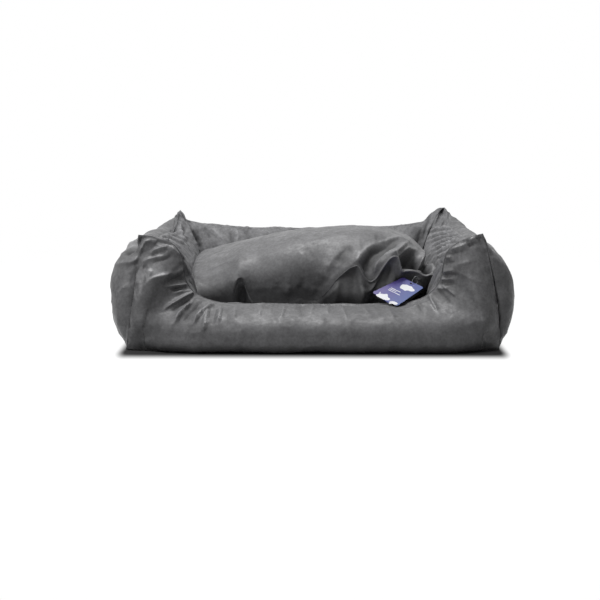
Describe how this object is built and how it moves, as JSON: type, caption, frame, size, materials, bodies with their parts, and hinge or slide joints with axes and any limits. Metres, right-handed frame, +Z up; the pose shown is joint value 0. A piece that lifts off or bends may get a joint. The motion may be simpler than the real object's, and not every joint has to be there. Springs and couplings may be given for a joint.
{
  "type": "dog basket",
  "caption": "Rectangular soft dog bed with stuffed bolster walls, peaked corner ears, a low scooped front entry, a loose plump zipped cushion and a hanging paper tag.",
  "frame": {"origin": "centre of the overall box, on the floor", "axes": "+X to the right along the long side, +Y from the low front entry to the back, +Z up"},
  "size_m": [0.923, 0.7425, 0.25],
  "materials": {
    "cover": "matt, suede-like leather look, softly mottled",
    "lining": "matt woven cloth",
    "underside": "matt woven cloth with small raised rubber dots",
    "wadding": "soft matt wadding",
    "fibre": "loose matt fibre stuffing",
    "zip_tape": "matt ribbed tape",
    "zip_metal": "satin",
    "clear_loop": "clear and glossy",
    "tag_card": "smooth coated card with a printed face"
  },
  "bodies": {
    "basket": {"base_panel": "underside", "base_wadding": "wadding", "floor_panel": "lining", "front_outer_panel": "cover", "right_outer_panel": "cover", "back_outer_panel": "cover", "left_outer_panel": "cover", "front_inner_panel": "cover", "right_inner_panel": "cover", "back_inner_panel": "cover", "left_inner_panel": "cover", "front_fill": "fibre", "right_fill": "fibre", "back_fill": "fibre", "left_fill": "fibre"},
    "cushion": {"cushion_top_panel": "cover", "cushion_bottom_panel": "lining", "cushion_fill": "fibre", "zip_upper_tape": "zip_tape", "zip_lower_tape": "zip_tape", "zip_upper_teeth": "zip_metal", "zip_lower_teeth": "zip_metal", "zip_end_stops": "zip_metal", "hanger_tab": "lining"},
    "zip_slider": {"zip_slider": "zip_metal"},
    "zip_pull": {"zip_pull": "zip_metal"},
    "tag_loop": {"tag_loop": "clear_loop"},
    "tag_cards": {"front_tag_card": "tag_card", "rear_tag_card": "tag_card"}
  },
  "joints": [
    {"name": "cushion_lift", "type": "slide", "parent": "basket", "child": "cushion", "axis": [0, 0, 1], "range_m": [0, 0.35]},
    {"name": "zip_slide", "type": "slide", "parent": "cushion", "child": "zip_slider", "axis": [-1, 0, 0], "range_m": [0, 0.287]},
    {"name": "pull_swing", "type": "hinge", "parent": "zip_slider", "child": "zip_pull", "pos_m": [0.1435, 0.178, 0.15], "axis": [0, 0, 1], "range_deg": [0, 165]},
    {"name": "loop_swing", "type": "hinge", "parent": "cushion", "child": "tag_loop", "pos_m": [0.24428, -0.19182, 0.1366], "axis": [-0.7096, 0.6617, 0.2419], "range_deg": [0, 30]},
    {"name": "card_swing", "type": "hinge", "parent": "tag_loop", "child": "tag_cards", "pos_m": [0.22742, -0.20713, 0.12902], "axis": [-0.7096, 0.6617, 0.2419], "range_deg": [0, 35]}
  ]
}
